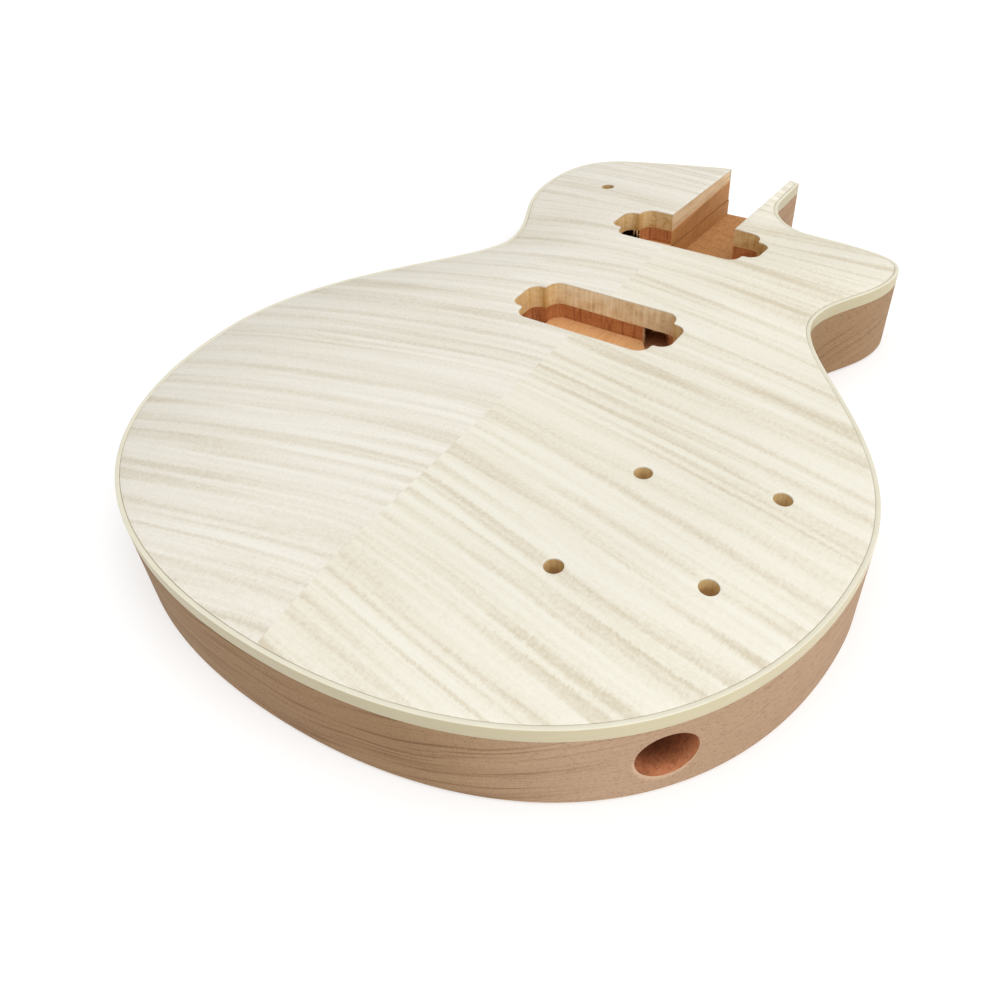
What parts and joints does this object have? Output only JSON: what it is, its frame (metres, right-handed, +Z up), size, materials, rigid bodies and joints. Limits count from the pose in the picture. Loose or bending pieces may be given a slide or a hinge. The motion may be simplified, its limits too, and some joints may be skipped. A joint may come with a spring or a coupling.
{
  "type": "electric guitar body",
  "caption": "Bare single-cutaway electric guitar body with a low-arched flame veneer top, edge binding, pickup routs, neck pocket and control holes.",
  "frame": {"origin": "middle of the flat back face, under the middle of the body's length and width", "axes": "+X to the treble side, +Y towards the neck end, +Z up out of the arched top"},
  "size_m": [0.329, 0.438, 0.05],
  "materials": {
    "mahogany": "bare, sanded",
    "maple_cap": "bare, cut by a router",
    "flame_veneer": "bare, sanded fine",
    "binding": "satin, scraped flush"
  },
  "bodies": {
    "root": {"back": "mahogany", "cap_bass": "maple_cap", "cap_treble": "maple_cap", "veneer_bass": "flame_veneer", "veneer_treble": "flame_veneer", "binding_bass": "binding", "binding_treble": "binding"}
  },
  "joints": []
}
